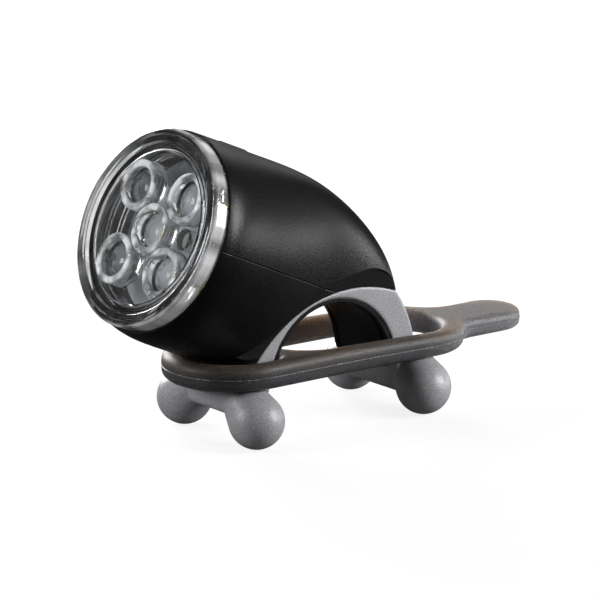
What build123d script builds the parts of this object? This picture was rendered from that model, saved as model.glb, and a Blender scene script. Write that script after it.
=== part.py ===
from build123d import *
from math import asin, cos, hypot, radians, sin, sqrt
import os

os.makedirs("parts", exist_ok=True)

# Bike light on a handlebar saddle. The origin is the middle of the handlebar's axis,
# X runs along the handlebar, +Z is up and the beam points along -Y, tilted up.

# Handlebar seat
bar_radius = 15.9
liner_thickness = 1.0
liner_drop = 1.0
liner_corner = 3.0
liner_edge_inset = 0.4
groove_width = 0.8
groove_depth = 0.35
groove_inset = 1.5

# Saddle: the arch over the handlebar and the two feet that carry the strap
saddle_width = 20.0
arch_thickness = 1.5
crown_radius = 32.6
crown_y = 4.9
crown_rear_y = 16.9
rear_leg_y = 22.4
rear_leg_bulge = 1.1
tongue_width = 15.0
tongue_height = 2.4
tongue_front_y = -17.0
tongue_rear_y = 10.0
front_foot_lip = 2.4
rear_foot_y = 22.6
foot_depth = 8.0
foot_top_z = 1.0
foot_corner = 1.8
front_foot_bottom_z = -4.8
rear_foot_bottom_z = -7.0
shelf_thickness = 1.2
lobe_radius = 5.95
lobe_spread = 12.4
lobe_z = -5.35
neck_radius = 4.2
neck_spread = 6.6
neck_z = -0.4

# Screws from the seat into the housing, at these angles up from the rear
saddle_screw_angles = (80, 145)
saddle_screw_length = 7.5
screw_head_radius = 1.9
screw_head_height = 1.2
screw_radius = 1.0
screw_clearance = 0.1
screw_end_gap = 0.3
screw_boss_radius = 3.0
screw_boss_cover = 1.0

# Beam axis, and the housing around it
beam_tilt = 23.6
beam_y = -38.54
beam_z = 35.2
front_radius = 21.75
housing_height = 21.8
housing_depth = 22.6
housing_wall = 2.0
dome_start = 26.0
dome_length = 34.3
leg_radius = 10.0
leg_setback = 2.8
leg_top_z = 8.0
facet_front = (-31.0, 4.6)
facet_middle = (-8.3, 17.9)
facet_top = (8.6, 21.9)
facet_corner = (13.9, 20.6)
facet_rear_drop = 1.5
facet_overrun = 0.6

# Lens cap, which slides in as the switch
lens_radius = 21.25
lens_proud = 3.64
rim_crest = 1.7
rim_round = 0.5
window_radius = 16.7
window_inset = 1.0
window_thickness = 1.2
press_travel = 0.4
slide_clearance = 0.1
skirt_wall = 1.5
skirt_bore = 17.0
rib_front = 3.2
rib_thickness = 0.8
snap_height = 0.6
snap_thickness = 0.9
seal_front = 0.9
seal_width = 1.2
seal_depth = 1.1
seal_clearance = 0.05

# Optic: four collimators in a square around a middle one
led_pitch = 8.0
collimator_radius = 5.45
collimator_tip = 2.6
collimator_rear = 5.0
dimple_radius = 3.9
dimple_floor_radius = 3.1
dimple_depth = 1.1
dome_round = 0.6
lens_gap = 0.2
web_front = 0.2
web_thickness = 1.0
web_gap = 0.05
led_pocket = 1.9
led_pocket_depth = 1.6

# Circuit board, light sources and switch
board_front = 7.2
board_thickness = 1.0
board_radius = 17.4
board_screw_offset = 15.0
board_screw_length = 5.0
board_boss_radius = 2.2
board_boss_end = 15.0
led_length = 3.5
led_width = 2.8
led_height = 1.2
led_dish_radius = 1.2
led_dish_depth = 0.3
led_dish_slope = 30
switch_offset = 8.5
switch_size = 4.2
switch_height = 1.5
switch_base = 0.3
switch_base_radius = 1.8
button_radius = 1.2
button_proud = 0.8
contact_gap = 0.05
post_radius = 2.3
chip_place = (-7.0, 2.0)
chip_length = 4.9
chip_width = 3.9
chip_height = 1.5
chip_leads = 4
lead_pitch = 1.27
lead_length = 1.0
lead_width = 0.4
lead_thickness = 0.5
resistor_offset = 6.5
resistor_pitch = 2.4
resistor_length = 2.0
resistor_width = 1.25
resistor_height = 0.5
capacitor_place = (-5.0, -8.0)
capacitor_radius = 2.0
capacitor_height = 3.2

# Battery
cell_radius = 10.0
cell_thickness = 3.2
cell_cap_radius = 8.8
cell_cap_height = 0.3
cell_front = 13.6
holder_gap = 0.3
holder_lip = 0.6
holder_wall = 2.1
holder_floor = 1.0
holder_notch = 4.6
holder_post_radius = 1.0
holder_posts = 3
holder_post_angle = 30
contact_sheet = 0.3
contact_width = 3.0
contact_disc = 4.0

# Strap
strap_gap = 0.4
strap_thickness = 4.2
strap_height = 5.7
strap_bottom_z = 1.2
strap_round = 1.95
strap_rear_y = 25.0
tab_front_y = 30.0
tab_end_y = 57.8
tab_half_width = 6.9
tab_bottom_z = 0.8
tab_height = 4.5
tab_root_depth = 1.0
tab_root_round = 7.0
tab_edge_inset = 0.3
tab_round = 2.0

seat_radius = bar_radius + liner_thickness
half_width = saddle_width / 2
crown_z = seat_radius + arch_thickness - crown_radius
crown_front_y = crown_y - sqrt(crown_radius**2 - (foot_top_z - crown_z) ** 2)
crown_rear_z = crown_z + sqrt(crown_radius**2 - (crown_rear_y - crown_y) ** 2)
front_foot_y = crown_front_y - front_foot_lip + foot_depth / 2
leg_y = front_foot_y + leg_setback
tilt_sin = sin(radians(beam_tilt))
tilt_cos = cos(radians(beam_tilt))
beam_centre = (0, beam_y, beam_z)
beam = Plane(origin=beam_centre, x_dir=(1, 0, 0), z_dir=(0, -tilt_cos, tilt_sin))
turning = Plane(origin=beam_centre, x_dir=(1, 0, 0), z_dir=(0, tilt_sin, tilt_cos))
beam_axis = Axis(beam_centre, (0, tilt_cos, -tilt_sin))
far = 80.0
overrun = 1.0

bore_radius = lens_radius + slide_clearance
skirt_radius = skirt_bore + skirt_wall
rib_bore = skirt_radius + slide_clearance
rib_rear = rib_front + rib_thickness
snap_front = rib_rear + contact_gap
snap_rear = snap_front + snap_thickness
board_rear = board_front + board_thickness
holder_bore = cell_radius + holder_gap
holder_radius = holder_bore + holder_wall
cells_rear = cell_front + 2 * cell_thickness
floor_radius = crown_radius + tongue_height + housing_wall
led_places = {
    "led_centre": (0, 0),
    "led_upper_left": (-led_pitch, led_pitch),
    "led_upper_right": (led_pitch, led_pitch),
    "led_lower_left": (-led_pitch, -led_pitch),
    "led_lower_right": (led_pitch, -led_pitch),
}

# Housing sections: distance behind the lens's rim, half width, fullness of the corners above and below
housing_sections = (
    (0, front_radius, 0.552, 0.552),
    (4, 21.9, 0.552, 0.552),
    (14, 18.7, 0.56, 0.62),
    (26, 14.8, 0.60, 0.74),
    (36, 11.6, 0.68, 0.82),
    (44, 10.6, 0.75, 0.85),
    (52, 11.0, 0.80, 0.8),
    (59.6, 10.8, 0.85, 0.8),
)
lower_shell_sections = housing_sections[:6]
cavity_sections = housing_sections[1:5]


def finish(piece, name):
    piece.part.label = name
    export_step(piece.part, f"parts/{name}.step")


def turned(*points):
    with BuildSketch(turning) as profile:
        with BuildLine():
            Polyline(*points, close=True)
        make_face()
    return profile.sketch


def dome_height(back):
    if back == 0:
        return front_radius
    past = max(0.0, back - dome_start) / dome_length
    return housing_height * sqrt(1 - past * past)


def belly_depth(back):
    return front_radius if back == 0 else housing_depth


def half_section(back, half, reach, fullness):
    with BuildSketch(beam.offset(-back)) as section:
        with BuildLine():
            Bezier((half, 0), (half, fullness * reach), (fullness * half, reach), (0, reach))
            Bezier((0, reach), (-fullness * half, reach), (-half, fullness * reach), (-half, 0))
            Line((-half, 0), (half, 0))
        make_face()
    return section.sketch


def upper_sections(table, inset):
    return [
        half_section(back, half - inset, dome_height(back) - inset, above)
        for back, half, above, below in table
    ]


def lower_sections(table, inset):
    return [
        half_section(back, half - inset, inset - belly_depth(back), below)
        for back, half, above, below in table
    ]


# Cutters that the two housing halves share

with BuildPart() as crown:
    with BuildSketch(Plane.YZ):
        with Locations((crown_y, crown_z)):
            Circle(crown_radius)
    extrude(amount=far, both=True)

facet_rear = (crown_rear_y + facet_overrun, crown_rear_z - facet_rear_drop)

with BuildSketch(Plane.YZ) as facet_outline:
    with BuildLine():
        ThreePointArc(facet_front, facet_middle, facet_top)
        ThreePointArc(facet_top, facet_corner, facet_rear)
        Polyline(
            facet_rear,
            (facet_rear[0], -crown_radius),
            (facet_front[0], -crown_radius),
            facet_front,
        )
    make_face()

with BuildPart() as facets:
    with BuildSketch(Plane.YZ.offset(half_width)):
        add(facet_outline.sketch_local)
    extrude(amount=far)
    mirror(about=Plane.YZ)

with BuildPart() as facet_walls:
    with BuildSketch(Plane.YZ.offset(half_width - housing_wall)):
        add(facet_outline.sketch_local)
        offset(amount=housing_wall)
    extrude(amount=far)
    mirror(about=Plane.YZ)

with BuildPart() as lens_bore:
    outline = turned(
        (0, -overrun),
        (bore_radius, -overrun),
        (bore_radius, rib_front),
        (rib_bore, rib_front),
        (rib_bore, rib_rear + overrun),
        (0, rib_rear + overrun),
    )
    revolve(outline, axis=beam_axis)

with BuildPart() as tongue_space:
    with BuildSketch(Plane.YZ):
        with Locations((crown_y, crown_z)):
            Circle(crown_radius + tongue_height + screw_clearance)
        with BuildLine():
            Polyline(
                (tongue_front_y - screw_clearance, 0),
                (tongue_rear_y + screw_clearance, 0),
                (tongue_rear_y + screw_clearance, far),
                (tongue_front_y - screw_clearance, far),
                close=True,
            )
        make_face(mode=Mode.INTERSECT)
    extrude(amount=tongue_width / 2 + screw_clearance, both=True)


def screw_line(angle):
    direction = (0, cos(radians(angle)), sin(radians(angle)))
    return Plane(origin=(0, 0, 0), x_dir=(1, 0, 0), z_dir=direction)


with BuildPart() as saddle_screw_holes:
    for angle in saddle_screw_angles:
        with BuildSketch(screw_line(angle).offset(seat_radius - overrun)):
            Circle(screw_radius + screw_clearance)
        extrude(amount=overrun + screw_head_height + saddle_screw_length + screw_end_gap)

with BuildPart() as saddle_screw_recesses:
    for angle in saddle_screw_angles:
        with BuildSketch(screw_line(angle)):
            Circle(screw_head_radius + screw_clearance)
        extrude(amount=seat_radius + screw_head_height)

with BuildPart() as board_screw_holes:
    for side in (1, -1):
        with BuildSketch(beam.offset(-board_front)):
            with Locations((0, side * board_screw_offset)):
                Circle(screw_radius + screw_clearance)
        extrude(amount=-(board_screw_length + screw_end_gap))

# Upper half of the housing

with BuildPart() as upper_cavity:
    loft(upper_sections(cavity_sections, housing_wall))
    add(facet_walls.part, mode=Mode.SUBTRACT)
    with BuildSketch(Plane.YZ):
        with Locations((crown_y, crown_z)):
            Circle(floor_radius)
    extrude(amount=far, both=True, mode=Mode.SUBTRACT)

with BuildPart() as upper_housing:
    loft(upper_sections(housing_sections, 0))
    add(upper_cavity.part, mode=Mode.SUBTRACT)
    with BuildSketch(beam.offset(-board_rear)):
        with Locations((0, (board_screw_offset + housing_height - housing_wall) / 2)):
            SlotOverall(
                housing_height - housing_wall - board_screw_offset + 2 * board_boss_radius,
                2 * board_boss_radius,
                rotation=90,
            )
    extrude(amount=-(board_boss_end - board_rear))
    add(lens_bore.part, mode=Mode.SUBTRACT)
    add(crown.part, mode=Mode.SUBTRACT)
    add(facets.part, mode=Mode.SUBTRACT)
    add(tongue_space.part, mode=Mode.SUBTRACT)
    add(saddle_screw_holes.part, mode=Mode.SUBTRACT)
    add(board_screw_holes.part, mode=Mode.SUBTRACT)
finish(upper_housing, "upper_housing")

# Lower half of the housing, with the leg that stands on the front foot

with BuildPart() as lower_cavity:
    loft(lower_sections(cavity_sections, housing_wall))
    add(facet_walls.part, mode=Mode.SUBTRACT)
    with BuildSketch(Plane.YZ):
        with Locations((crown_y, crown_z)):
            Circle(floor_radius)
    extrude(amount=far, both=True, mode=Mode.SUBTRACT)

with BuildPart() as lower_housing:
    loft(lower_sections(lower_shell_sections, 0))
    with BuildSketch(Plane.XY.offset(strap_bottom_z + strap_height + strap_gap)):
        with Locations((0, leg_y)):
            Rectangle(far, far)
    extrude(amount=-far, mode=Mode.SUBTRACT)
    with BuildSketch(Plane.XY.offset(foot_top_z)):
        with Locations((0, leg_y)):
            Circle(leg_radius)
    extrude(amount=leg_top_z - foot_top_z)
    add(lower_cavity.part, mode=Mode.SUBTRACT)
    with BuildSketch(beam.offset(-board_rear)):
        with Locations((0, -(board_screw_offset + housing_depth - housing_wall) / 2)):
            SlotOverall(
                housing_depth - housing_wall - board_screw_offset + 2 * board_boss_radius,
                2 * board_boss_radius,
                rotation=90,
            )
    extrude(amount=-(board_boss_end - board_rear))
    with BuildSketch(screw_line(saddle_screw_angles[1]).offset(seat_radius)):
        Circle(screw_boss_radius)
    extrude(amount=screw_head_height + saddle_screw_length + screw_boss_cover)
    add(lens_bore.part, mode=Mode.SUBTRACT)
    add(crown.part, mode=Mode.SUBTRACT)
    add(facets.part, mode=Mode.SUBTRACT)
    add(tongue_space.part, mode=Mode.SUBTRACT)
    add(saddle_screw_holes.part, mode=Mode.SUBTRACT)
    add(board_screw_holes.part, mode=Mode.SUBTRACT)
finish(lower_housing, "lower_housing")

# Saddle: arch, feet and the four lobes that hold the strap

rear_leg_middle = (
    (rear_leg_y + crown_rear_y) / 2 + rear_leg_bulge,
    (foot_top_z + crown_rear_z) / 2 + rear_leg_bulge / 2,
)
foot_corners_below = front_foot_bottom_z / 2
lobe_run = hypot(lobe_spread - neck_spread, lobe_z - neck_z)
lobe_lean = asin((lobe_radius - neck_radius) / lobe_run)

with BuildPart() as lobes:
    for side_y in (front_foot_y, rear_foot_y):
        neck = (neck_spread, side_y, neck_z)
        lean = (lobe_spread - neck_spread, 0, lobe_z - neck_z)
        with BuildSketch(Plane(origin=neck, x_dir=lean, z_dir=(0, -1, 0))):
            with BuildLine():
                neck_touch = (-neck_radius * sin(lobe_lean), neck_radius * cos(lobe_lean))
                lobe_touch = (lobe_run - lobe_radius * sin(lobe_lean), lobe_radius * cos(lobe_lean))
                lobe_side = (lobe_run + lobe_radius * sqrt(0.5), lobe_radius * sqrt(0.5))
                lobe_end = (lobe_run + lobe_radius, 0)
                RadiusArc((-neck_radius, 0), neck_touch, neck_radius)
                Line(neck_touch, lobe_touch)
                ThreePointArc(lobe_touch, lobe_side, lobe_end)
                Line(lobe_end, (-neck_radius, 0))
            make_face()
        revolve(axis=Axis(neck, lean))
    mirror(about=Plane.YZ)
    with BuildSketch(Plane.XY.offset(foot_top_z)):
        Rectangle(far, far)
    extrude(amount=far, mode=Mode.SUBTRACT)

with BuildPart() as saddle:
    with BuildSketch(Plane.YZ) as arch:
        with BuildLine():
            ThreePointArc(
                (crown_front_y, foot_top_z),
                (crown_y, crown_z + crown_radius),
                (crown_rear_y, crown_rear_z),
            )
            ThreePointArc((crown_rear_y, crown_rear_z), rear_leg_middle, (rear_leg_y, foot_top_z))
            Polyline(
                (rear_leg_y, foot_top_z),
                (rear_foot_y + foot_depth / 2, foot_top_z),
                (rear_foot_y + foot_depth / 2, rear_foot_bottom_z),
                (rear_foot_y - foot_depth / 2, rear_foot_bottom_z),
                (seat_radius, 0),
            )
            ThreePointArc((seat_radius, 0), (0, seat_radius), (-seat_radius, 0))
            Polyline(
                (-seat_radius, 0),
                (front_foot_y + foot_depth / 2, front_foot_bottom_z),
                (front_foot_y - foot_depth / 2, front_foot_bottom_z),
                (front_foot_y - foot_depth / 2, foot_top_z),
                (crown_front_y, foot_top_z),
            )
        make_face()
        fillet(arch.vertices().filter_by_position(Axis.Y, -far, foot_corners_below), foot_corner)
    extrude(amount=half_width, both=True)
    with BuildSketch(Plane.XY.offset(foot_top_z)):
        with Locations((0, leg_y)):
            Circle(leg_radius)
        with Locations((0, leg_y)):
            Rectangle(far, 2 * leg_radius, align=(Align.CENTER, Align.MIN), mode=Mode.SUBTRACT)
    extrude(amount=-shelf_thickness)
    with BuildSketch(Plane.YZ):
        with Locations((crown_y, crown_z)):
            Circle(crown_radius + tongue_height)
        Circle(seat_radius, mode=Mode.SUBTRACT)
        with BuildLine():
            Polyline(
                (tongue_front_y, 0),
                (tongue_rear_y, 0),
                (tongue_rear_y, far),
                (tongue_front_y, far),
                close=True,
            )
        make_face(mode=Mode.INTERSECT)
    extrude(amount=tongue_width / 2, both=True)
    with BuildSketch(Plane.XY.offset(foot_top_z)):
        with Locations((0, leg_y)):
            Rectangle(far, far, align=(Align.CENTER, Align.MAX))
            Circle(leg_radius, mode=Mode.SUBTRACT)
    extrude(amount=leg_top_z - foot_top_z, mode=Mode.SUBTRACT)
    add(lobes.part)
    add(saddle_screw_holes.part, mode=Mode.SUBTRACT)
    add(saddle_screw_recesses.part, mode=Mode.SUBTRACT)
finish(saddle, "saddle")

# Rubber liner in the arch

with BuildPart() as handlebar_liner:
    with BuildSketch(Plane.YZ):
        with BuildLine():
            ThreePointArc((seat_radius, 0), (0, seat_radius), (-seat_radius, 0))
            Polyline(
                (-seat_radius, 0),
                (-seat_radius, -liner_drop),
                (-bar_radius, -liner_drop),
                (-bar_radius, 0),
            )
            ThreePointArc((-bar_radius, 0), (0, bar_radius), (bar_radius, 0))
            Polyline(
                (bar_radius, 0),
                (bar_radius, -liner_drop),
                (seat_radius, -liner_drop),
                (seat_radius, 0),
            )
        make_face()
    extrude(amount=half_width - liner_edge_inset, both=True)
    lower_corners = handlebar_liner.edges().filter_by(Axis.Y).group_by(Axis.Z)[0]
    fillet(lower_corners, liner_corner)
    for side in (1, -1):
        with BuildSketch(Plane.YZ.offset(side * (half_width - groove_inset))):
            Circle(bar_radius + groove_depth)
        extrude(amount=-side * groove_width, mode=Mode.SUBTRACT)
finish(handlebar_liner, "handlebar_liner")

with BuildPart() as saddle_screws:
    for angle in saddle_screw_angles:
        with BuildSketch(screw_line(angle).offset(seat_radius)):
            Circle(screw_head_radius)
        extrude(amount=screw_head_height)
        with BuildSketch(screw_line(angle).offset(seat_radius + screw_head_height)):
            Circle(screw_radius)
        extrude(amount=saddle_screw_length)
finish(saddle_screws, "saddle_screws")

# Lens cap: the rim, the window, and the skirt that runs in the housing's rib

window_front = -lens_proud + window_inset
window_rear = window_front + window_thickness
shoulder = rib_front - press_travel - slide_clearance
groove_bottom = lens_radius - seal_depth
seal_rear = seal_front + seal_width

with BuildPart() as lens_cap:
    with BuildSketch(turning):
        with BuildLine():
            Polyline(
                (lens_radius - rim_round, -lens_proud),
                (lens_radius - rim_crest, -lens_proud),
                (window_radius, window_front),
                (0, window_front),
                (0, window_rear),
                (skirt_bore, window_rear),
                (skirt_bore, snap_rear),
                (skirt_radius + snap_height, snap_rear),
                (skirt_radius + snap_height, snap_front),
                (skirt_radius, snap_front),
                (skirt_radius, shoulder),
                (lens_radius, shoulder),
                (lens_radius, seal_rear),
                (groove_bottom, seal_rear),
                (groove_bottom, seal_front),
                (lens_radius, seal_front),
                (lens_radius, -lens_proud + rim_round),
            )
            RadiusArc(
                (lens_radius, -lens_proud + rim_round),
                (lens_radius - rim_round, -lens_proud),
                -rim_round,
            )
        make_face()
    revolve(axis=beam_axis)
finish(lens_cap, "lens_cap")

with BuildPart() as lens_seal:
    outline = turned(
        (groove_bottom, seal_front),
        (bore_radius - seal_clearance, seal_front),
        (bore_radius - seal_clearance, seal_rear),
        (groove_bottom, seal_rear),
    )
    revolve(outline, axis=beam_axis)
finish(lens_seal, "lens_seal")

# Optic: the web, its five collimators and the post that presses the switch

dome_front = window_rear + lens_gap
button_front = board_front - switch_height - button_proud


def beam_place(across, up, back):
    return Plane(
        origin=turning.from_local_coords((across, back, -up)),
        x_dir=(1, 0, 0),
        z_dir=(0, tilt_sin, tilt_cos),
    )


with BuildPart() as collimator_optic:
    with BuildSketch(beam.offset(-web_front)):
        Circle(skirt_bore - web_gap)
    extrude(amount=-web_thickness)
    for across, up in led_places.values():
        with BuildSketch(beam_place(across, up, 0)):
            with BuildLine():
                Polyline(
                    (0, dome_front + dimple_depth),
                    (dimple_floor_radius, dome_front + dimple_depth),
                    (dimple_radius, dome_front + dome_round),
                )
                ThreePointArc(
                    (dimple_radius, dome_front + dome_round),
                    ((dimple_radius + collimator_radius) / 2, dome_front),
                    (collimator_radius, dome_front + dome_round),
                )
                Polyline(
                    (collimator_radius, dome_front + dome_round),
                    (collimator_radius, web_front + web_thickness),
                    (collimator_tip, collimator_rear),
                    (led_pocket, collimator_rear),
                    (led_pocket, collimator_rear - led_pocket_depth),
                    (0, collimator_rear - led_pocket_depth),
                    (0, dome_front + dimple_depth),
                )
            make_face()
        revolve(axis=Axis(beam_place(across, up, 0).origin, beam_axis.direction))
    with BuildSketch(beam.offset(-web_front)):
        with Locations((switch_offset, 0)):
            Circle(post_radius)
    extrude(amount=-(button_front - contact_gap - web_front))
finish(collimator_optic, "collimator_optic")

# Board and what is soldered to it

with BuildPart() as circuit_board:
    with BuildSketch(beam.offset(-board_front)):
        Circle(board_radius)
        for side in (1, -1):
            with Locations((0, side * board_screw_offset)):
                Circle(screw_radius + screw_clearance, mode=Mode.SUBTRACT)
    extrude(amount=-board_thickness)
finish(circuit_board, "circuit_board")

with BuildPart() as board_screws:
    for side in (1, -1):
        with BuildSketch(beam.offset(-board_front)):
            with Locations((0, side * board_screw_offset)):
                Circle(screw_head_radius)
        extrude(amount=screw_head_height)
        with BuildSketch(beam.offset(-board_front)):
            with Locations((0, side * board_screw_offset)):
                Circle(screw_radius)
        extrude(amount=-board_screw_length)
finish(board_screws, "board_screws")

for name, (across, up) in led_places.items():
    with BuildPart() as led:
        with BuildSketch(beam.offset(-board_front)):
            with Locations((across, up)):
                Rectangle(led_length, led_width)
        extrude(amount=led_height)
        with BuildSketch(beam.offset(-board_front + led_height)):
            with Locations((across, up)):
                Circle(led_dish_radius)
        extrude(amount=-led_dish_depth, taper=led_dish_slope, mode=Mode.SUBTRACT)
    finish(led, name)

with BuildPart() as switch_body:
    with BuildSketch(beam.offset(-board_front)):
        with Locations((switch_offset, 0)):
            Rectangle(switch_size, switch_size)
            Circle(button_radius + contact_gap, mode=Mode.SUBTRACT)
    extrude(amount=switch_height)
    with BuildSketch(beam.offset(-board_front)):
        with Locations((switch_offset, 0)):
            Circle(switch_base_radius)
    extrude(amount=switch_base)
finish(switch_body, "switch_body")

with BuildPart() as switch_button:
    with BuildSketch(beam.offset(-button_front)):
        with Locations((switch_offset, 0)):
            Circle(button_radius)
    extrude(amount=-(button_proud + switch_height - switch_base - press_travel - contact_gap))
finish(switch_button, "switch_button")

with BuildPart() as driver_chip:
    with BuildSketch(beam.offset(-board_rear)):
        with Locations(chip_place):
            Rectangle(chip_width, chip_length)
    extrude(amount=-chip_height)
    with BuildSketch(beam.offset(-board_rear)):
        with Locations(chip_place):
            with GridLocations(chip_width + lead_length, lead_pitch, 2, chip_leads):
                Rectangle(lead_length, lead_width)
    extrude(amount=-lead_thickness)
finish(driver_chip, "driver_chip")

with BuildPart() as resistors:
    for place in (-2, -1, 0, 1, 2):
        with BuildSketch(beam.offset(-board_rear)):
            with Locations((resistor_offset, place * resistor_pitch)):
                Rectangle(resistor_length, resistor_width)
        extrude(amount=-resistor_height)
finish(resistors, "resistors")

with BuildPart() as capacitor:
    with BuildSketch(beam.offset(-board_rear)):
        with Locations(capacitor_place):
            Circle(capacitor_radius)
    extrude(amount=-capacitor_height)
finish(capacitor, "capacitor")

# Battery: two coin cells in a cup, with a contact at each end

with BuildPart() as battery_holder:
    outline = turned(
        (holder_bore, cell_front - holder_lip),
        (holder_radius, cell_front - holder_lip),
        (holder_radius, cells_rear + contact_sheet + holder_floor),
        (0, cells_rear + contact_sheet + holder_floor),
        (0, cells_rear + contact_sheet),
        (holder_bore, cells_rear + contact_sheet),
    )
    revolve(outline, axis=beam_axis)
    with BuildSketch(beam.offset(-cell_front + overrun)):
        with Locations((0, holder_radius)):
            Rectangle(holder_notch, 2 * (holder_wall + holder_gap))
    extrude(amount=-(overrun + 2 * cell_thickness + contact_sheet), mode=Mode.SUBTRACT)
    with BuildSketch(beam.offset(-board_rear)):
        with PolarLocations(holder_bore + holder_wall / 2, holder_posts, holder_post_angle):
            Circle(holder_post_radius)
    extrude(amount=-(cell_front - board_rear))
finish(battery_holder, "battery_holder")

for name, front in (("front_cell", cell_front), ("rear_cell", cell_front + cell_thickness)):
    with BuildPart() as cell:
        with BuildSketch(beam.offset(-front)):
            Circle(cell_cap_radius)
        extrude(amount=-cell_thickness)
        with BuildSketch(beam.offset(-front - cell_cap_height)):
            Circle(cell_radius)
        extrude(amount=-(cell_thickness - cell_cap_height))
    finish(cell, name)

with BuildPart() as negative_contact:
    with BuildSketch(beam.offset(-cell_front)):
        Circle(contact_disc)
    extrude(amount=contact_sheet)
    with BuildSketch(beam.offset(-board_rear)):
        with Locations((0, -contact_disc / 2)):
            Rectangle(contact_width, contact_sheet)
    extrude(amount=-(cell_front - board_rear))
finish(negative_contact, "negative_contact")

with BuildPart() as positive_contact:
    with BuildSketch(beam.offset(-cells_rear)):
        with Locations((0, (holder_bore + holder_wall / 2 - contact_disc) / 2)):
            Rectangle(contact_width, holder_bore + holder_wall / 2 + contact_disc)
    extrude(amount=-contact_sheet)
    with BuildSketch(beam.offset(-board_rear)):
        with Locations((0, holder_bore + holder_wall / 2 - contact_sheet / 2)):
            Rectangle(contact_width, contact_sheet)
    extrude(amount=-(cells_rear + contact_sheet - board_rear))
finish(positive_contact, "positive_contact")

# Strap: a ring round both legs with a pull tab

ring_inner = leg_radius + strap_gap
ring_radius = ring_inner + strap_thickness / 2
ring_outer = ring_inner + strap_thickness
ring_rear_y = strap_rear_y + ring_radius
ring_front_y = leg_y - ring_radius

with BuildPart() as pull_tab:
    with BuildSketch(Plane.XY.offset(tab_bottom_z)) as tab_outline:
        with Locations((0, strap_rear_y)):
            Circle(ring_outer - tab_edge_inset)
        with Locations((0, (strap_rear_y + tab_end_y) / 2)):
            SlotOverall(tab_end_y - strap_rear_y, 2 * tab_half_width, rotation=90)
        tab_roots = tab_outline.vertices().filter_by_position(Axis.Y, strap_rear_y, ring_rear_y)
        fillet(tab_roots, tab_root_round)
    extrude(amount=tab_height)
    fillet(pull_tab.edges().group_by(Axis.Z)[0] + pull_tab.edges().group_by(Axis.Z)[-1], tab_round)
    with BuildSketch(Plane.XY):
        with Locations((0, strap_rear_y - tab_root_depth)):
            Circle(ring_inner)
        with Locations((0, tab_front_y)):
            Rectangle(far, far, align=(Align.CENTER, Align.MAX))
    extrude(amount=far, mode=Mode.SUBTRACT)

with BuildPart() as strap:
    with BuildLine() as ring_line:
        with Locations((0, 0, strap_bottom_z + strap_height / 2)):
            Line((ring_radius, leg_y), (ring_radius, strap_rear_y))
            ThreePointArc((ring_radius, strap_rear_y), (0, ring_rear_y), (-ring_radius, strap_rear_y))
            Line((-ring_radius, strap_rear_y), (-ring_radius, leg_y))
            ThreePointArc((-ring_radius, leg_y), (0, ring_front_y), (ring_radius, leg_y))
    with BuildSketch(Plane.XZ.offset(-leg_y)):
        with Locations((ring_radius, strap_bottom_z + strap_height / 2)):
            RectangleRounded(strap_thickness, strap_height, strap_round)
    sweep(path=ring_line.wires()[0])
    add(pull_tab.part)
finish(strap, "strap")
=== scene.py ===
from math import cos, pi, radians, sin, sqrt, tan

import bmesh
import bpy
from mathutils import Matrix, Vector


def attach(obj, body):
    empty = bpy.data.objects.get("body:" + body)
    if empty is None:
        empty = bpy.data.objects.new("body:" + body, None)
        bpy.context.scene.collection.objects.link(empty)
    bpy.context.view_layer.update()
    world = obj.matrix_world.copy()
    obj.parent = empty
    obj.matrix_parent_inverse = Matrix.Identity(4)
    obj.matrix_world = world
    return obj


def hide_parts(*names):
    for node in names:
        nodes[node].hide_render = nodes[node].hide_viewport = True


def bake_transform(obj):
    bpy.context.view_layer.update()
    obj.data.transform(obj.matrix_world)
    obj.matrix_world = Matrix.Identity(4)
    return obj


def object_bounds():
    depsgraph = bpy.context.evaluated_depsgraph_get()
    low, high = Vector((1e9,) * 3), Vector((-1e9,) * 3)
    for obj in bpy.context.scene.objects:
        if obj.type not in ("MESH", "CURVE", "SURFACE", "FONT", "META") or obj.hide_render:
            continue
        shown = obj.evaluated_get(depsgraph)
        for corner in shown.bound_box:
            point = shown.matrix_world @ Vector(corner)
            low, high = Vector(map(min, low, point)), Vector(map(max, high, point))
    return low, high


# A bike light on a handlebar saddle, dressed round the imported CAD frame. Sizes are in millimetres, as in
# part.py, and MM turns them into the scene's metres. Noise scales are in cells to the metre.

MM = 0.001

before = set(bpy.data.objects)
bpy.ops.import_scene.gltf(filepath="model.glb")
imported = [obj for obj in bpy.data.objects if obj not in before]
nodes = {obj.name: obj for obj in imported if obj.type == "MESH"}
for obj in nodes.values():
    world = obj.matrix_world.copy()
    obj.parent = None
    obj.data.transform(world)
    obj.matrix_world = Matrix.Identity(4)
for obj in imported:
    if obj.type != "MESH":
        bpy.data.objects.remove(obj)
cad_low, cad_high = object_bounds()

# Beam axis and the pieces round it, as in part.py

BEAM_TILT = radians(23.6)
BEAM_CENTRE = Vector((0, -38.54, 35.2)) * MM
BEAM_BACK = Vector((0, cos(BEAM_TILT), -sin(BEAM_TILT)))
BEAM_UP = Vector((0, sin(BEAM_TILT), cos(BEAM_TILT)))
ACROSS = Vector((1, 0, 0))
LED_PITCH = 8.0
LED_CORNERS = [(side * LED_PITCH, height * LED_PITCH) for side in (-1, 1) for height in (-1, 1)]
LENS_RADIUS = 21.25
BOARD_RADIUS = 17.4
STRAP_BOTTOM = 1.2
STRAP_TOP = 6.9

# Node helpers


def new_material(name):
    material = bpy.data.materials.new(name)
    material.use_nodes = True
    tree = material.node_tree
    return material, tree, tree.nodes["Principled BSDF"]


def rgba(colour):
    """A grey level, or a red, green and blue, with an alpha of 1."""
    return (*colour, 1.0) if isinstance(colour, tuple) else (colour, colour, colour, 1.0)


def feed(tree, socket, value):
    """Links another socket to this one, or sets a plain number or colour on it."""
    if isinstance(value, bpy.types.NodeSocket):
        tree.links.new(value, socket)
    else:
        socket.default_value = rgba(value) if socket.type == "RGBA" else value


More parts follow.
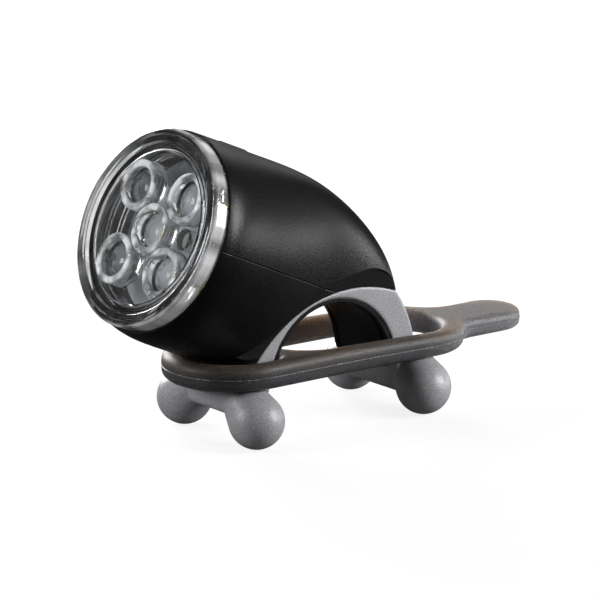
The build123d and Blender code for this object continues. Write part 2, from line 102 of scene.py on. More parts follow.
def settle(tree, shader, **values):
    """Sets what is the same all over a surface, by the sockets' names with _ for a space."""
    for name, value in values.items():
        feed(tree, shader.inputs[name.replace("_", " ")], value)


def place(tree):
    return tree.nodes.new("ShaderNodeTexCoord").outputs["Object"]


def calc(tree, operation, *values):
    node = tree.nodes.new("ShaderNodeMath")
    node.operation = operation
    for socket, value in zip(node.inputs, values):
        feed(tree, socket, value)
    return node.outputs[0]


def along(tree, origin, direction):
    """The place's distance from the origin along a direction, times the direction's length."""
    offset = tree.nodes.new("ShaderNodeVectorMath")
    offset.operation = "SUBTRACT"
    tree.links.new(place(tree), offset.inputs[0])
    offset.inputs[1].default_value = origin
    product = tree.nodes.new("ShaderNodeVectorMath")
    product.operation = "DOT_PRODUCT"
    tree.links.new(offset.outputs[0], product.inputs[0])
    product.inputs[1].default_value = direction
    return product.outputs["Value"]


def off_axis(tree, across, up):
    """Distance from a line along the beam, at these millimetres off its middle."""
    side = calc(tree, "SUBTRACT", along(tree, BEAM_CENTRE, ACROSS), across * MM)
    height = calc(tree, "SUBTRACT", along(tree, BEAM_CENTRE, BEAM_UP), up * MM)
    squares = calc(tree, "ADD", calc(tree, "POWER", side, 2.0), calc(tree, "POWER", height, 2.0))
    return calc(tree, "SQRT", squares)


def nearest_collimator(tree):
    """Distance from the nearest of the five collimators' axes."""
    distance = off_axis(tree, 0, 0)
    for across, up in LED_CORNERS:
        distance = calc(tree, "MINIMUM", distance, off_axis(tree, across, up))
    return distance


def across_beam(tree):
    """Place with its part along the beam left out, so that a pattern runs along the beam."""
    node = tree.nodes.new("ShaderNodeCombineXYZ")
    tree.links.new(along(tree, BEAM_CENTRE, ACROSS), node.inputs["X"])
    tree.links.new(along(tree, BEAM_CENTRE, BEAM_UP), node.inputs["Y"])
    return node.outputs[0]


def noise(tree, scale, detail=2.0, where=None):
    node = tree.nodes.new("ShaderNodeTexNoise")
    node.inputs["Scale"].default_value = scale
    node.inputs["Detail"].default_value = detail
    tree.links.new(where or place(tree), node.inputs["Vector"])
    return node.outputs["Fac"]


def ramp(tree, value, *stops):
    """Colours or grey levels between stops, each a position from 0 to 1 and what stands there."""
    node = tree.nodes.new("ShaderNodeValToRGB")
    tree.links.new(value, node.inputs["Fac"])
    elements = node.color_ramp.elements
    while len(elements) < len(stops):
        elements.new(0.5)
    for element, (position, colour) in zip(elements, stops):
        element.position = position
        element.color = rgba(colour)
    return node.outputs["Color"]


def ramp_by_distance(tree, distance, reach, *stops):
    """A ramp whose stops stand at millimetres from 0 to the reach."""
    share = calc(tree, "DIVIDE", distance, reach * MM)
    return ramp(tree, share, *((at / reach, colour) for at, colour in stops))


def blend_colours(tree, share, first, second):
    node = tree.nodes.new("ShaderNodeMix")
    node.data_type = "RGBA"
    factor, start, end = node.inputs[0], node.inputs[6], node.inputs[7]
    feed(tree, factor, share)
    feed(tree, start, first)
    feed(tree, end, second)
    return node.outputs[2]


def blend_shaders(tree, share, first, second):
    node = tree.nodes.new("ShaderNodeMixShader")
    feed(tree, node.inputs[0], share)
    tree.links.new(first, node.inputs[1])
    tree.links.new(second, node.inputs[2])
    return node.outputs[0]


def relief(tree, shader, height, strength, depth, edge_radius=0.0):
    """Bump of a depth in millimetres, on edges that look rounded where a radius is given."""
    node = tree.nodes.new("ShaderNodeBump")
    node.inputs["Strength"].default_value = strength
    node.inputs["Distance"].default_value = depth * MM
    tree.links.new(height, node.inputs["Height"])
    if edge_radius:
        edge = tree.nodes.new("ShaderNodeBevel")
        edge.samples = 6
        edge.inputs["Radius"].default_value = edge_radius * MM
        tree.links.new(edge.outputs[0], node.inputs["Normal"])
    tree.links.new(node.outputs["Normal"], shader.inputs["Normal"])


# Materials

SEAM_WIDTH = 0.2
CLEAR_TINT = (0.96, 0.97, 0.98)
CLEAR_IOR = 1.49
CLEAR_ROUGHNESS = 0.015
RING_REACH = 10.0
FROST_RING = ((3.75, 0.0), (4.0, 1.0), (5.35, 1.0), (5.6, 0.0))
PAD_EDGE = ((2.0, 0.0), (2.3, 1.0))
MARGIN_SHADE_FADE = 16.0

# Painted light and shade on the strap: its colour grows paler from here on, in shares to the metre, and the
# silicone scatters light this far, in metres

PAINTED_LIGHT_START = Vector((0, 6, 0)) * MM
PAINTED_LIGHT_SLOPE = Vector((-1, 1, 0)) * 45
SCATTER_REACH = (0.012, 0.010, 0.008)


def housing_plastic():
    """Fine-grained black, with a dark hollow line where the two halves meet."""
    material, tree, shader = new_material("black_textured_plastic")
    grain = noise(tree, scale=3400, detail=1.0)
    patch = noise(tree, scale=150, detail=3.0)
    from_seam = calc(tree, "ABSOLUTE", along(tree, BEAM_CENTRE, BEAM_UP))
    seam = ramp(tree, calc(tree, "DIVIDE", from_seam, SEAM_WIDTH * MM), (0.3, 0.0), (0.9, 1.0))
    body = ramp(tree, patch, (0.3, (0.0022, 0.0022, 0.0026)), (0.7, (0.0040, 0.0040, 0.0045)))
    feed(tree, shader.inputs["Base Color"], blend_colours(tree, seam, 0.001, body))
    feed(tree, shader.inputs["Roughness"], ramp(tree, grain, (0.3, 0.28), (0.7, 0.38)))
    settle(tree, shader, Specular_IOR_Level=0.2)
    height = calc(tree, "ADD", grain, calc(tree, "MULTIPLY", seam, 0.4))
    relief(tree, shader, height, strength=0.8, depth=0.07, edge_radius=0.3)
    return material


def saddle_plastic():
    """Light grey with darker and paler specks, faintly clouded."""
    material, tree, shader = new_material("speckled_grey_plastic")
    speckle = noise(tree, scale=3000)
    body = ramp(
        tree, speckle, (0.3, (0.22, 0.22, 0.235)), (0.5, (0.31, 0.31, 0.33)), (0.72, (0.43, 0.43, 0.455))
    )
    cloud = ramp(tree, noise(tree, scale=200), (0.3, 0.17), (0.7, 0.28))
    feed(tree, shader.inputs["Base Color"], blend_colours(tree, 0.18, body, cloud))
    feed(tree, shader.inputs["Roughness"], ramp(tree, speckle, (0.3, 0.50), (0.7, 0.34)))
    relief(tree, shader, speckle, strength=0.3, depth=0.05)
    return material


def liner_rubber():
    material, tree, shader = new_material("black_rubber")
    grain = noise(tree, scale=1500)
    feed(tree, shader.inputs["Base Color"], ramp(tree, grain, (0.3, 0.003), (0.7, 0.006)))
    feed(tree, shader.inputs["Roughness"], ramp(tree, grain, (0.3, 0.30), (0.7, 0.40)))
    settle(tree, shader, Specular_IOR_Level=0.3)
    relief(tree, shader, grain, strength=0.12, depth=0.05, edge_radius=0.3)
    return material


def strap_silicone():
    """Smoky silicone: warmer towards the top, with painted light that makes it paler towards the rear left
    and painted shade that darkens its near front.
    """
    material, tree, shader = new_material("smoke_silicone")
    speckle = noise(tree, scale=2600)
    smoke = ramp(
        tree, speckle, (0.3, (0.10, 0.102, 0.118)), (0.5, (0.155, 0.157, 0.172)), (0.7, (0.24, 0.24, 0.252))
    )
    amber = ramp(tree, speckle, (0.3, (0.150, 0.110, 0.072)), (0.7, (0.310, 0.240, 0.170)))
    height = along(tree, (0, 0, STRAP_BOTTOM * MM), (0, 0, 1 / (STRAP_TOP * MM)))
    wander = calc(tree, "MULTIPLY", calc(tree, "SUBTRACT", noise(tree, scale=90), 0.5), 0.5)
    warmth = ramp(tree, calc(tree, "ADD", height, wander), (0.50, 0.0), (0.78, 0.75))
    # Painted light and shade: the colour fades to near black at the strap's near front and stays full towards
    # its rear left
    light = ramp(tree, along(tree, PAINTED_LIGHT_START, PAINTED_LIGHT_SLOPE), (0.0, 0.32), (0.7, 1.0))
    body = blend_colours(tree, warmth, smoke, amber)
    feed(tree, shader.inputs["Base Color"], blend_colours(tree, light, (0.012, 0.012, 0.014), body))
    feed(tree, shader.inputs["Roughness"], ramp(tree, speckle, (0.3, 0.60), (0.7, 0.45)))
    settle(tree, shader, Specular_IOR_Level=0.25, Transmission_Weight=0.3, Subsurface_Weight=1.0)
    settle(tree, shader, Subsurface_Radius=SCATTER_REACH, Subsurface_Scale=1.0)
    relief(tree, shader, speckle, strength=0.3, depth=0.06)
    return material


def mould_line():
    """A dark bead with broken glints, painted into its colour as paler specks where it is also smoother."""
    material, tree, shader = new_material("strap_mould_line")
    painted_glint = noise(tree, scale=1500, detail=1.0)
    # Painted highlight: paler specks in the colour stand in for glints
    colour = ramp(tree, painted_glint, (0.52, (0.07, 0.07, 0.075)), (0.62, (0.34, 0.33, 0.34)))
    feed(tree, shader.inputs["Base Color"], colour)
    feed(tree, shader.inputs["Roughness"], ramp(tree, painted_glint, (0.4, 0.45), (0.6, 0.25)))
    return material


def clear_plastic(name, haze, haze_roughness, haze_share=1.0):
    """Clear plastic that turns milky by the haze that a function gives."""
    material, tree, shader = new_material(name)
    milk = haze(tree)
    roughness = calc(tree, "ADD", CLEAR_ROUGHNESS, calc(tree, "MULTIPLY", milk, haze_roughness))
    clearness = calc(tree, "SUBTRACT", 1.0, calc(tree, "MULTIPLY", milk, haze_share))
    feed(tree, shader.inputs["Roughness"], roughness)
    feed(tree, shader.inputs["Transmission Weight"], clearness)
    settle(tree, shader, Base_Color=CLEAR_TINT, IOR=CLEAR_IOR)
    return material


def rim_haze(tree):
    """Streaks along the beam in the lens cap's outer wall."""
    radius = calc(tree, "DIVIDE", off_axis(tree, 0, 0), LENS_RADIUS * MM)
    wall = ramp(tree, radius, (0.965, 0.04), (0.99, 1.0))
    streaks = ramp(tree, noise(tree, scale=150, where=across_beam(tree)), (0.36, 0.10), (0.64, 0.75))
    return calc(tree, "MULTIPLY", wall, streaks)


def collimator_frost(tree):
    """Patches of frost in a ring round each collimator's front."""
    ring = ramp_by_distance(tree, nearest_collimator(tree), RING_REACH, *FROST_RING)
    return calc(tree, "MULTIPLY", ring, ramp(tree, noise(tree, scale=260), (0.40, 0.15), (0.60, 1.0)))


def board_mask():
    """White solder mask with a grey pad under each LED, and a grey margin with painted shade that darkens it
    upwards.
    """
    material, tree, shader = new_material("white_solder_mask")
    pad = ramp_by_distance(tree, nearest_collimator(tree), RING_REACH, *PAD_EDGE)
    middle = blend_colours(tree, pad, (0.42, 0.42, 0.44), (0.80, 0.81, 0.82))
    # Painted shade: the margin's grey deepens towards the top of the board
    height = calc(tree, "ADD", along(tree, BEAM_CENTRE, BEAM_UP / (MARGIN_SHADE_FADE * MM)), 1.0)
    shaded_margin = ramp(tree, height, (0.1, (0.60, 0.61, 0.64)), (0.9, (0.16, 0.165, 0.19)))
    radius = calc(tree, "DIVIDE", off_axis(tree, 0, 0), BOARD_RADIUS * MM)
    white = ramp(tree, radius, (0.60, 1.0), (0.72, 0.0))
    feed(tree, shader.inputs["Base Color"], blend_colours(tree, white, shaded_margin, middle))
    feed(tree, shader.inputs["Roughness"], ramp(tree, noise(tree, scale=900), (0.3, 0.2), (0.7, 0.3)))
    return material


def fine_grained(name, colour, rough, metal=0.0):
    """One colour with a fine grain, for the small parts behind the lens."""
    material, tree, shader = new_material(name)
    grain = noise(tree, scale=2000)
    shade = tuple(0.9 * level for level in colour)
    feed(tree, shader.inputs["Base Color"], ramp(tree, grain, (0.3, shade), (0.7, colour)))
    feed(tree, shader.inputs["Roughness"], ramp(tree, grain, (0.3, rough - 0.05), (0.7, rough + 0.05)))
    settle(tree, shader, Metallic=metal)
    return material


black = housing_plastic()
grey = saddle_plastic()
rubber = liner_rubber()
silicone = strap_silicone()
window = clear_plastic("clear_lens_plastic", rim_haze, haze_roughness=0.12)
optic = clear_plastic("clear_optic_plastic", collimator_frost, haze_roughness=0.10, haze_share=0.85)
white_board = board_mask()
steel = fine_grained("plated_steel", (0.62, 0.61, 0.60), rough=0.35, metal=1.0)
led_case = fine_grained("led_phosphor", (0.78, 0.66, 0.16), rough=0.4)
black_part = fine_grained("black_epoxy", (0.02, 0.02, 0.02), rough=0.35)
dark_cap = fine_grained("dark_plunger", (0.03, 0.03, 0.035), rough=0.3)

FINISHES = {
    "upper_housing": black,
    "lower_housing": black,
    "saddle": grey,
    "handlebar_liner": rubber,
    "strap": silicone,
    "lens_cap": window,
    "lens_seal": rubber,
    "collimator_optic": optic,
    "circuit_board": white_board,
    "battery_holder": black_part,
    "driver_chip": black_part,
    "resistors": black_part,
    "switch_body": black_part,
    "switch_button": dark_cap,
}
for name, node in nodes.items():
    finish = FINISHES.get(name, led_case if name.startswith("led_") else steel)
    node.data.materials.clear()
    node.data.materials.append(finish)

# Mesh helpers

SHARP_ANGLE = radians(32)
BRACE_INSET = 0.1
BRACED_LENGTH = 1.0


def new_object(name, mesh, material):
    piece = bpy.data.objects.new(name, mesh)
    bpy.context.scene.collection.objects.link(piece)
    mesh.materials.clear()
    mesh.materials.append(material)
    for face in mesh.polygons:
        face.use_smooth = True
    return piece


def mesh_from(shape, name):
    """The closed bmesh as a mesh, with its faces turned outwards."""
    bmesh.ops.recalc_face_normals(shape, faces=shape.faces)
    mesh = bpy.data.meshes.new(name)
    shape.to_mesh(mesh)
    shape.free()
    return mesh


def sharp_object(name, mesh, material):
    """A smooth object whose edges stay sharp from SHARP_ANGLE on."""
    piece = new_object(name, mesh, material)
    mesh.set_sharp_from_angle(angle=SHARP_ANGLE)
    return piece


def resampled(name, mesh, material, voxel, rounds):
    """The mesh on an even grid of voxels, with its edges rounded by smoothing."""
    rough = bpy.data.objects.new("rough", mesh)
    bpy.context.scene.collection.objects.link(rough)
    grid = rough.modifiers.new("grid", "REMESH")
    grid.mode = "VOXEL"
    grid.voxel_size = voxel
    ease = rough.modifiers.new("ease", "SMOOTH")
    ease.factor = 0.5
    ease.iterations = rounds
    bpy.context.view_layer.update()
    seen = rough.evaluated_get(bpy.context.evaluated_depsgraph_get())
    result = bpy.data.meshes.new_from_object(seen)
    bpy.data.objects.remove(rough)
    return new_object(name, result, material)


def arc(centre, radius, first, last, steps):
    """Points on an arc from one angle in degrees to another, with both ends."""
    turns = [radians(first + (last - first) * i / steps) for i in range(steps + 1)]
    return [(centre[0] + radius * cos(turn), centre[1] + radius * sin(turn)) for turn in turns]


def straight(first, last, steps):
    """Points on a straight stretch, without its ends."""
    start, end = Vector(first), Vector(last)
    return [tuple(start.lerp(end, i / steps)) for i in range(1, steps)]


def mirrored(half):
    """The outline whose right half these points are, from the front of the middle to the rear."""
    return half + [(-x, y) for x, y in reversed(half) if abs(x) > 1e-6]


def beam_point(across, up, back):
    return BEAM_CENTRE + (ACROSS * across + BEAM_UP * up + BEAM_BACK * back) * MM


def turned_rings(shape, across, up, profile, steps):
    """A ring of vertices about a line along the beam for each radius and depth, with the faces between."""
    rings = []
    for radius, back in profile:
        turns = [2 * pi * i / steps for i in range(steps if radius else 1)]
        points = [beam_point(across + radius * cos(turn), up + radius * sin(turn), back) for turn in turns]
        rings.append([shape.verts.new(point) for point in points])
    for first, second in zip(rings, rings[1:]):
        for i in range(steps):
            j = (i + 1) % steps
            ends = first[i % len(first)], first[j % len(first)]
            other_ends = second[j % len(second)], second[i % len(second)]
            shape.faces.new(tuple(dict.fromkeys(ends + other_ends)))
    return rings


# Strap: a flat silicone ring with a hole round the front leg, a long loop and a tab

STRAP_OUTER = 14.6
STRAP_INNER = 10.4
STRAP_ROUND = 1.95
STRAP_FRONT_Y = -19.54
LEG_HOLE_REAR_Y = -14.0
LEG_HOLE_CORNER = 2.0
LOOP_FRONT_Y = 0.0
LOOP_REAR_Y = 24.0
RING_REAR_Y = 25.0
TAB_HALF = 6.9
TAB_END_Y = 50.9
TAB_ROOT = 7.0
ROUND_STEPS = 8
STRAP_VOXEL = 0.3
STRAP_SMOOTHING = 3
MOULD_LINE_RADIUS = 0.1
MOULD_LINE_SIDES = 6

# How far the strap's top and bottom come down, and between which places along Y

TOP_FALL = (0.8, -4, 32)
TAB_TOP_FALL = (0.75, 33, 46)
BOTTOM_FALL = (0.3, 4, 34)


def strap_outline(inset):
    outer, root, half = STRAP_OUTER - inset, TAB_ROOT + inset, TAB_HALF - inset
    root_y = RING_REAR_Y + sqrt((outer + root) ** 2 - (half + root) ** 2)
    lean = Vector((half + root, root_y - RING_REAR_Y)).angle(Vector((1, 0))) * 180 / pi
    return mirrored(
        arc((0, STRAP_FRONT_Y), outer, -90, 0, 40)
        + straight((outer, STRAP_FRONT_Y), (outer, RING_REAR_Y), 60)
        + arc((0, RING_REAR_Y), outer, 0, lean, 26)
        + arc((half + root, root_y), root, 180 + lean, 180, 14)[1:]
        + straight((half, root_y), (half, TAB_END_Y), 12)
        + arc((0, TAB_END_Y), half, 0, 90, 30)
    )


def loop_outline(inset):
    inner = STRAP_INNER + inset
    return mirrored(
        arc((0, LOOP_FRONT_Y), inner, -90, 0, 36)
        + straight((inner, LOOP_FRONT_Y), (inner, LOOP_REAR_Y), 30)
        + arc((0, LOOP_REAR_Y), inner, 0, 90, 36)
    )


def leg_outline(inset):
    inner, rear, corner = STRAP_INNER + inset, LEG_HOLE_REAR_Y + inset, LEG_HOLE_CORNER + inset
    return mirrored(
        arc((0, STRAP_FRONT_Y), inner, -90, 0, 36)
        + arc((inner - corner, rear - corner), corner, 0, 90, 12)
        + straight((inner - corner, rear), (0, rear), 10)
        + [(0, rear)]
    )


def strap_mesh():
    """The flat strap, with every edge rounded, before it is tapered."""
    shape = bmesh.new()
    turns = [radians(90 * i / ROUND_STEPS) for i in range(ROUND_STEPS + 1)]
    levels = [(STRAP_ROUND * (1 - sin(turn)), STRAP_BOTTOM + STRAP_ROUND * (1 - cos(turn))) for turn in turns]
    levels += [(inset, STRAP_BOTTOM + STRAP_TOP - z) for inset, z in reversed(levels)]
    bottom, top = [], []
    for outline in (strap_outline, loop_outline, leg_outline):
        rings = [[shape.verts.new((x, y, z)) for x, y in outline(inset)] for inset, z in levels]
        for lower, upper in zip(rings, rings[1:]):
            for i in range(len(lower)):
                shape.faces.new((lower[i - 1], lower[i], upper[i], upper[i - 1]))
        for edges, ring in ((bottom, rings[0]), (top, rings[-1])):
            edges.extend(shape.edges.get((ring[i - 1], ring[i])) for i in range(len(ring)))
    for edges in (bottom, top):
        bmesh.ops.triangle_fill(shape, use_beauty=True, edges=edges)
    return mesh_from(shape, "strap_form")


def add_mould_line(mesh):
    """A fine bead round the outside at half height, where the two mould halves met."""
    shape = bmesh.new()
    shape.from_mesh(mesh)
    for face in shape.faces:
        face.material_index = 0
    path = [Vector((x, y, (STRAP_BOTTOM + STRAP_TOP) / 2)) for x, y in strap_outline(0)]
    rise = Vector((0, 0, 1))
    turns = [2 * pi * k / MOULD_LINE_SIDES for k in range(MOULD_LINE_SIDES)]
    rings = []
    for i, point in enumerate(path):
        outward = (path[(i + 1) % len(path)] - path[i - 1]).cross(rise).normalized()
        offsets = [(outward * cos(turn) + rise * sin(turn)) * MOULD_LINE_RADIUS for turn in turns]
        rings.append([shape.verts.new(point + offset) for offset in offsets])
    for i, ring in enumerate(rings):
        for k in range(MOULD_LINE_SIDES):
            face = shape.faces.new((rings[i - 1][k - 1], rings[i - 1][k], ring[k], ring[k - 1]))
            face.material_index = 1
            face.smooth = True
    shape.to_mesh(mesh)
    shape.free()


def fall(y, amount, start, end):
    """How much of a fall is reached at y, eased at both ends."""
    t = min(max((y - start) / (end - start), 0.0), 1.0)
    return amount * t * t * (3 - 2 * t)


def strap_piece():
    piece = resampled("silicone_strap", strap_mesh(), silicone, STRAP_VOXEL, STRAP_SMOOTHING)
    piece.data.materials.append(mould_line())
    add_mould_line(piece.data)
    for vertex in piece.data.vertices:
        x, y, z = vertex.co
        share = (z - STRAP_BOTTOM) / (STRAP_TOP - STRAP_BOTTOM)
        top = STRAP_TOP - fall(y, *TOP_FALL) - fall(y, *TAB_TOP_FALL)
        bottom = STRAP_BOTTOM - fall(y, *BOTTOM_FALL)
        vertex.co = Vector((x, y, bottom + share * (top - bottom))) * MM
    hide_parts("strap")
    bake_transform(piece)


strap_piece()

# Lens cap, turned about the beam axis. Depths are measured back from the beam's centre, so what stands in
# front of it is negative.

WINDOW_FRONT = -3.05
WINDOW_BACK = -2.5
WINDOW_RADIUS = 16.3
WINDOW_BEVEL = 0.2
LAND_RADIUS = 17.55
LAND_FRONT = -2.95
GROOVE_INNER = 17.75
GROOVE_OUTER = 18.3
GROOVE_BOTTOM = -2.55
RIM_INNER = 18.5
RIM_FRONT = -3.64
RIM_BACK = 2.7
RIM_INNER_ROUND = [(0.0, 0.24), (0.35, 0.04)]
RIM_OUTER_ROUND = [(0.75, 0.0), (0.35, 0.14), (0.1, 0.44), (0.0, 0.84)]
LINE_RADIUS = 19.8
LINE_HALF = 0.2
LINE_DEPTH = 0.22
SKIRT_RADIUS = 18.5
SKIRT_BORE = 17.0
HOOK_RADIUS = 19.1
HOOK_FRONT = 4.05
HOOK_BACK = 4.95
LENS_STEPS = 256

# Radii of the corners that are rounded

LENS_CORNERS = {
    (LENS_RADIUS, RIM_BACK): 0.2,
    (SKIRT_RADIUS, RIM_BACK): 0.2,
    (SKIRT_BORE, HOOK_BACK): 0.2,
    (SKIRT_BORE, WINDOW_BACK): 0.4,
}


def lens_profile():
    return [
        (0, WINDOW_FRONT),
        (WINDOW_RADIUS, WINDOW_FRONT),
        (WINDOW_RADIUS + WINDOW_BEVEL, WINDOW_FRONT + WINDOW_BEVEL),
        (LAND_RADIUS, LAND_FRONT),
        (GROOVE_INNER, GROOVE_BOTTOM),
        (GROOVE_OUTER, GROOVE_BOTTOM),
        *((RIM_INNER + outward, RIM_FRONT + behind) for outward, behind in RIM_INNER_ROUND),
        (LINE_RADIUS - LINE_HALF, RIM_FRONT),
        (LINE_RADIUS, RIM_FRONT + LINE_DEPTH),
        (LINE_RADIUS + LINE_HALF, RIM_FRONT),
        *((LENS_RADIUS - inward, RIM_FRONT + behind) for inward, behind in RIM_OUTER_ROUND),
        (LENS_RADIUS, RIM_BACK),
        (SKIRT_RADIUS, RIM_BACK),
        (SKIRT_RADIUS, HOOK_FRONT),
        (HOOK_RADIUS, HOOK_FRONT),
        (HOOK_RADIUS, HOOK_BACK),
        (SKIRT_BORE, HOOK_BACK),
        (SKIRT_BORE, WINDOW_BACK),
        (0, WINDOW_BACK),
    ]


def rounded(profile, corners, steps=5):
    """The profile with each corner that has a radius replaced by a small arc."""
    result = []
    for i, point in enumerate(profile):
        radius = corners.get(point)
        if radius is None:
            result.append(point)
            continue
        here = Vector(point)
        before = (Vector(profile[i - 1]) - here).normalized()
        after = (Vector(profile[i + 1]) - here).normalized()
        half_angle = before.angle(after) / 2
        reach = radius / tan(half_angle)
        centre = here + (before + after).normalized() * radius / sin(half_angle)
        start, end = here + before * reach - centre, here + after * reach - centre
        arms = [start.lerp(end, k / steps).normalized() * radius for k in range(steps + 1)]
        result.extend(tuple(centre + arm) for arm in arms)
    return result


def braced(profile):
    """The profile with one more point near each end of its long sides, so that flat faces shade flat."""
    result = [profile[0]]
    for here, after in zip(profile, profile[1:]):
        side = Vector(after) - Vector(here)
        if side.length > BRACED_LENGTH:
            inset = side.normalized() * BRACE_INSET
            if here[0] > 0:
                result.append(tuple(Vector(here) + inset))
            if after[0] > 0:
                result.append(tuple(Vector(after) - inset))
        result.append(after)
    return result


def lens_piece():
    shape = bmesh.new()
    turned_rings(shape, 0, 0, braced(rounded(lens_profile(), LENS_CORNERS)), LENS_STEPS)
    piece = sharp_object("clear_lens_cap", mesh_from(shape, "clear_lens_cap"), window)
    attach(piece, "lens_unit")
    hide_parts("lens_cap")


lens_piece()

# Optic: five clear collimators on one web, each with a small lens in its dimple and a pocket for its LED,
# and the post that presses the switch. The fronts and backs are given from the web outwards.

WEB_FRONT = 0.2
WEB_BACK = 1.2
WEB_PROFILE = [(16.75, WEB_FRONT), (16.9, 0.35), (16.9, 1.05), (16.75, WEB_BACK)]
WEB_STEPS = 144
COLLIMATOR_RADIUS = 5.45
COLLIMATOR_TOP = -2.4
COLLIMATOR_EDGE = 0.5
DIMPLE_RIM = [(4.35, COLLIMATOR_TOP), (4.1, -2.3), (3.9, -2.05)]
DIMPLE_WALL = [(3.5, -1.1), (3.15, -0.1), (2.9, 0.2), (2.7, 0.2)]
DIMPLE_LENS = [(2.5, 0.05), (2.1, -0.26), (1.6, -0.53), (1.1, -0.72), (0.55, -0.82), (0, -0.85)]
COLLECTOR_WALL = [(5.3, 1.7), (5.0, 2.3), (4.5, 3.1), (3.9, 3.9), (3.2, 4.6), (2.7, 5.0)]
LED_POCKET = [(1.95, 5.0), (1.85, 3.4), (1.2, 3.05), (0.6, 2.87), (0, 2.8)]
COLLIMATOR_STEPS = 96
SWITCH_OFFSET = 8.5
POST_RADIUS = 2.3
POST_DIMPLE = [(2.2, 0.1), (0, 0.1)]
POST_TIP = [(2.3, 4.6), (2.1, 4.8), (0, 4.8)]
POST_STEPS = 48


def optic_piece():
    edge_centre = (COLLIMATOR_RADIUS - COLLIMATOR_EDGE, COLLIMATOR_TOP + COLLIMATOR_EDGE)
    front = arc(edge_centre, COLLIMATOR_EDGE, 0, -90, 3) + DIMPLE_RIM + DIMPLE_WALL + DIMPLE_LENS
    back = COLLECTOR_WALL + LED_POCKET
    places = [(0, 0)] + LED_CORNERS
    bosses = [(*middle, COLLIMATOR_RADIUS, front, back, COLLIMATOR_STEPS) for middle in places]
    bosses.append((SWITCH_OFFSET, 0, POST_RADIUS, POST_DIMPLE, POST_TIP, POST_STEPS))
    shape = bmesh.new()
    web = turned_rings(shape, 0, 0, WEB_PROFILE, WEB_STEPS)
    for level, rim in ((WEB_FRONT, web[0]), (WEB_BACK, web[-1])):
        outlines = [rim]
        for across, up, radius, ahead, behind, steps in bosses:
            profile = [(radius, level)] + (ahead if level == WEB_FRONT else behind)
            outlines.append(turned_rings(shape, across, up, profile, steps)[0])
        edges = [shape.edges.get((ring[i - 1], ring[i])) for ring in outlines for i in range(len(ring))]
        bmesh.ops.triangle_fill(shape, use_beauty=True, edges=edges, normal=BEAM_BACK)
    piece = sharp_object("clear_collimators", mesh_from(shape, "collimators"), optic)
    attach(piece, "lens_unit")
    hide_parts("collimator_optic")


optic_piece()

# Saddle: its form with every edge and neck rounded as moulded

SADDLE_VOXEL = 0.28
SADDLE_SMOOTHING = 6


def saddle_piece():
    mesh = nodes["saddle"].data.copy()
    mesh.transform(Matrix.Scale(1 / MM, 4))
    piece = resampled("moulded_saddle", mesh, grey, SADDLE_VOXEL, SADDLE_SMOOTHING)
    piece.data.transform(Matrix.Scale(MM, 4))
    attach(piece, "root")
    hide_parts("saddle")


saddle_piece()

# Camera at the photograph's angle. Distances and shifts are in metres, the lens in millimetres.

AZIMUTH = 51.713
ELEVATION = 14.463
ROLL = radians(0.236)
DISTANCE = 1.0612
SHIFT_RIGHT = -0.000883
SHIFT_UP = 0.01415
FOCAL = 300.6
SENSOR = 36


def toward(azimuth, elevation):
    """Direction from the object to a place at these degrees, 0 being its front."""
    a, e = radians(azimuth), radians(elevation)
    return Vector((sin(a) * cos(e), -cos(a) * cos(e), sin(e)))


back = toward(AZIMUTH, ELEVATION)
level = toward(AZIMUTH + 90, 0)
right = level * cos(ROLL) + back.cross(level) * sin(ROLL)
up = back.cross(right)

camera = bpy.data.objects.new("camera", bpy.data.cameras.new("camera"))
camera.data.lens = FOCAL
camera.data.sensor_width = SENSOR
camera.data.clip_start = 0.05
camera.data.clip_end = 20
turn = Matrix((right, up, back)).transposed().to_4x4()
camera.matrix_world = Matrix.Translation(back * DISTANCE + right * SHIFT_RIGHT + up * SHIFT_UP) @ turn
bpy.context.scene.collection.objects.link(camera)
bpy.context.scene.camera = camera

# Studio: soft boxes, pale floor and white surroundings

FLOOR_HALF = 6.0
FLOOR_COLOUR = 0.85
FLOOR_ROUGHNESS = 0.9
FLOOR_GLOW = 1.06
FLOOR_GLOW_RISE = 0.22
FLOOR_GLOW_SHARE = 0.8
FLOOR_MIRRORED = 0.03
WORLD_DIM = 0.04
WORLD_MIRRORED = 0.04


def soft_box(name, azimuth, elevation, distance, width, height, power):
    direction = toward(azimuth, elevation)
    light = bpy.data.lights.new(name, "AREA")
    light.shape = "RECTANGLE"
    light.size = width
    light.size_y = height
    light.energy = power
    lamp = bpy.data.objects.new(name, light)
    facing = direction.to_track_quat("Z", "Y").to_matrix().to_4x4()
    lamp.matrix_world = Matrix.Translation(direction * distance) @ facing
    lamp.visible_camera = False
    bpy.context.scene.collection.objects.link(lamp)


soft_box("side_box", azimuth=134, elevation=20, distance=0.6, width=0.26, height=0.26, power=4.6)
soft_box("front_box", azimuth=-20, elevation=24, distance=0.6, width=0.26, height=0.26, power=2.4)
soft_box("left_box", azimuth=-97, elevation=20, distance=0.6, width=0.30, height=0.26, power=4.6)
soft_box("back_card", azimuth=235, elevation=30, distance=0.6, width=0.60, height=0.30, power=0.6)
soft_box("rear_card", azimuth=166, elevation=1.2, distance=0.17, width=0.107, height=0.030, power=0.045)


def ray(tree, name):
    return tree.nodes.new("ShaderNodeLightPath").outputs[name]


def background_share(tree, mirrored_share):
    """1 for the camera and through clear pieces, the mirrored share after a reflection, else 0."""
    reflected = calc(tree, "MINIMUM", ray(tree, "Glossy Depth"), 1.0)
    through = calc(tree, "MULTIPLY", ray(tree, "Is Transmission Ray"), calc(tree, "SUBTRACT", 1.0, reflected))
    clear = calc(tree, "MAXIMUM", ray(tree, "Is Camera Ray"), through)
    glossy = calc(tree, "MULTIPLY", ray(tree, "Is Glossy Ray"), mirrored_share)
    return calc(tree, "MAXIMUM", clear, glossy)


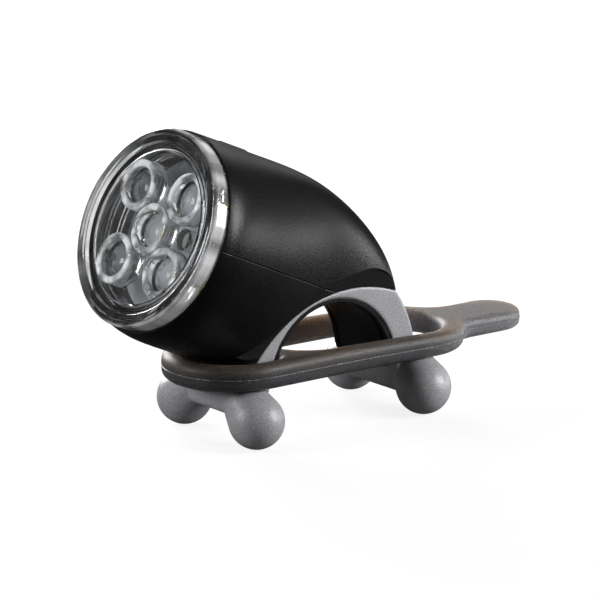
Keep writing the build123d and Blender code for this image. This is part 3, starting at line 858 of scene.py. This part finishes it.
def glowing_paper():
    """Floor paper: white to the camera with the object's shadow on it, and dark to the object above it."""
    material, tree, shader = new_material("floor_paper")
    settle(tree, shader, Base_Color=FLOOR_COLOUR, Roughness=FLOOR_ROUGHNESS)
    reach = tree.nodes.new("ShaderNodeVectorMath")
    reach.operation = "LENGTH"
    tree.links.new(place(tree), reach.inputs[0])
    away = ramp(tree, reach.outputs["Value"], (0.12, 0.0), (0.40, 1.0))
    glow = tree.nodes.new("ShaderNodeEmission")
    settle(tree, glow, Color=1.0)
    rise = calc(tree, "MULTIPLY", away, FLOOR_GLOW_RISE)
    feed(tree, glow.inputs["Strength"], calc(tree, "ADD", FLOOR_GLOW, rise))
    white = blend_shaders(tree, FLOOR_GLOW_SHARE, shader.outputs[0], glow.outputs[0])
    dark = tree.nodes.new("ShaderNodeBsdfDiffuse")
    feed(tree, dark.inputs["Color"], blend_colours(tree, ray(tree, "Is Diffuse Ray"), 0.01, 0.22))
    surface = blend_shaders(tree, background_share(tree, FLOOR_MIRRORED), dark.outputs[0], white)
    tree.links.new(surface, tree.nodes["Material Output"].inputs["Surface"])
    return material


floor_mesh = bpy.data.meshes.new("floor")
floor_corners = [(x * FLOOR_HALF, y * FLOOR_HALF, cad_low.z) for x, y in ((-1, -1), (1, -1), (1, 1), (-1, 1))]
floor_mesh.from_pydata(floor_corners, [], [(0, 1, 2, 3)])
floor = bpy.data.objects.new("floor", floor_mesh)
bpy.context.scene.collection.objects.link(floor)
floor.data.materials.append(glowing_paper())

world = bpy.data.worlds.new("studio")
world.use_nodes = True
bpy.context.scene.world = world
sky = world.node_tree
dim = sky.nodes["Background"]
settle(sky, dim, Color=1.0, Strength=WORLD_DIM)
bright = sky.nodes.new("ShaderNodeBackground")
settle(sky, bright, Color=1.0, Strength=1.0)
surroundings = blend_shaders(sky, background_share(sky, WORLD_MIRRORED), dim.outputs[0], bright.outputs[0])
sky.links.new(surroundings, sky.nodes["World Output"].inputs["Surface"])

bpy.context.scene.view_settings.view_transform = "Standard"
